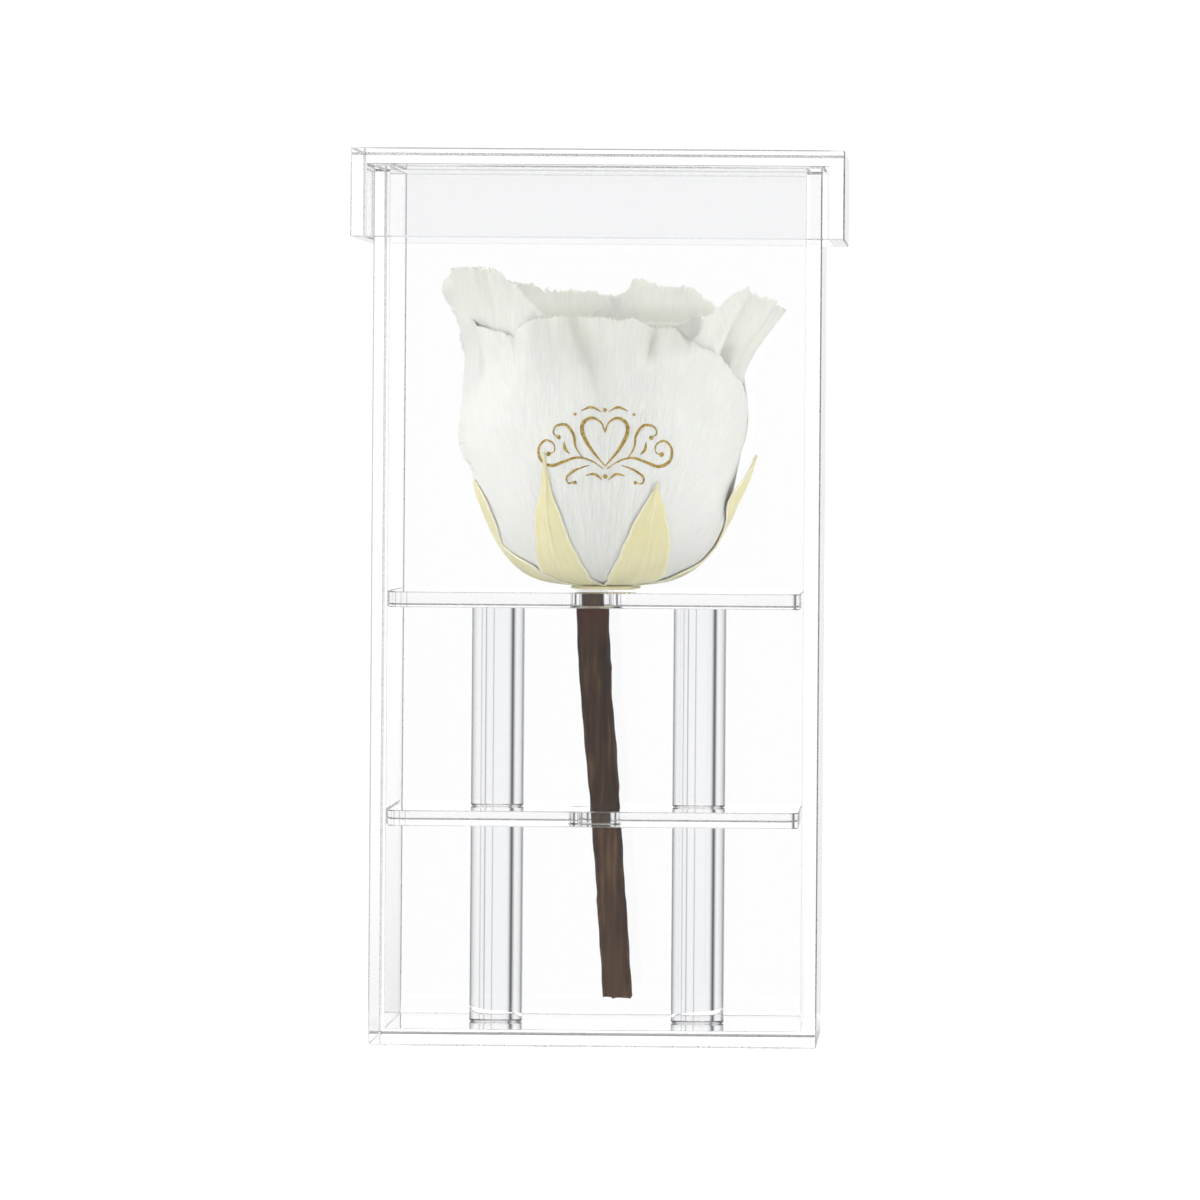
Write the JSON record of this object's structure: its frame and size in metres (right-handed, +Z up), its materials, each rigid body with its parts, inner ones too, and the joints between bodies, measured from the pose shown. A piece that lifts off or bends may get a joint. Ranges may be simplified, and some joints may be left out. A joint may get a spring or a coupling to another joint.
{
  "type": "preserved rose in clear box",
  "caption": "Dried rose bloom on a bare stem, standing through two round-holed clear shelves on rod spacers inside a tall clear box with a lift-off lid, for display.",
  "frame": {"origin": "middle of the underside of the box floor", "axes": "+Z up, +X to the right seen from the front, -Y towards the front, where the rose's largest petal faces"},
  "size_m": [0.11, 0.11, 0.2],
  "materials": {
    "box_floor": "clear polished acrylic",
    "box_front": "clear polished acrylic",
    "box_back": "clear polished acrylic",
    "box_left": "clear polished acrylic",
    "box_right": "clear polished acrylic",
    "lid_top": "clear polished acrylic",
    "lid_front": "clear polished acrylic",
    "lid_back": "clear polished acrylic",
    "lid_left": "clear polished acrylic",
    "lid_right": "clear polished acrylic",
    "shelf_lower": "clear polished acrylic",
    "shelf_upper": "clear polished acrylic",
    "rod_lower_left": "clear polished acrylic",
    "rod_lower_right": "clear polished acrylic",
    "rod_upper_left": "clear polished acrylic",
    "rod_upper_right": "clear polished acrylic",
    "rose_stem": "matt dried stem, dark brown",
    "rose_calyx": "matt preserved sepals, cream yellow",
    "rose_bloom": "matt preserved petals, white"
  },
  "bodies": {
    "root": {"box_floor": "box_floor", "box_front": "box_front", "box_back": "box_back", "box_left": "box_left", "box_right": "box_right", "lid_top": "lid_top", "lid_front": "lid_front", "lid_back": "lid_back", "lid_left": "lid_left", "lid_right": "lid_right", "shelf_lower": "shelf_lower", "shelf_upper": "shelf_upper", "rod_lower_left": "rod_lower_left", "rod_lower_right": "rod_lower_right", "rod_upper_left": "rod_upper_left", "rod_upper_right": "rod_upper_right", "rose_stem": "rose_stem", "rose_calyx": "rose_calyx", "rose_bloom": "rose_bloom"}
  },
  "joints": []
}
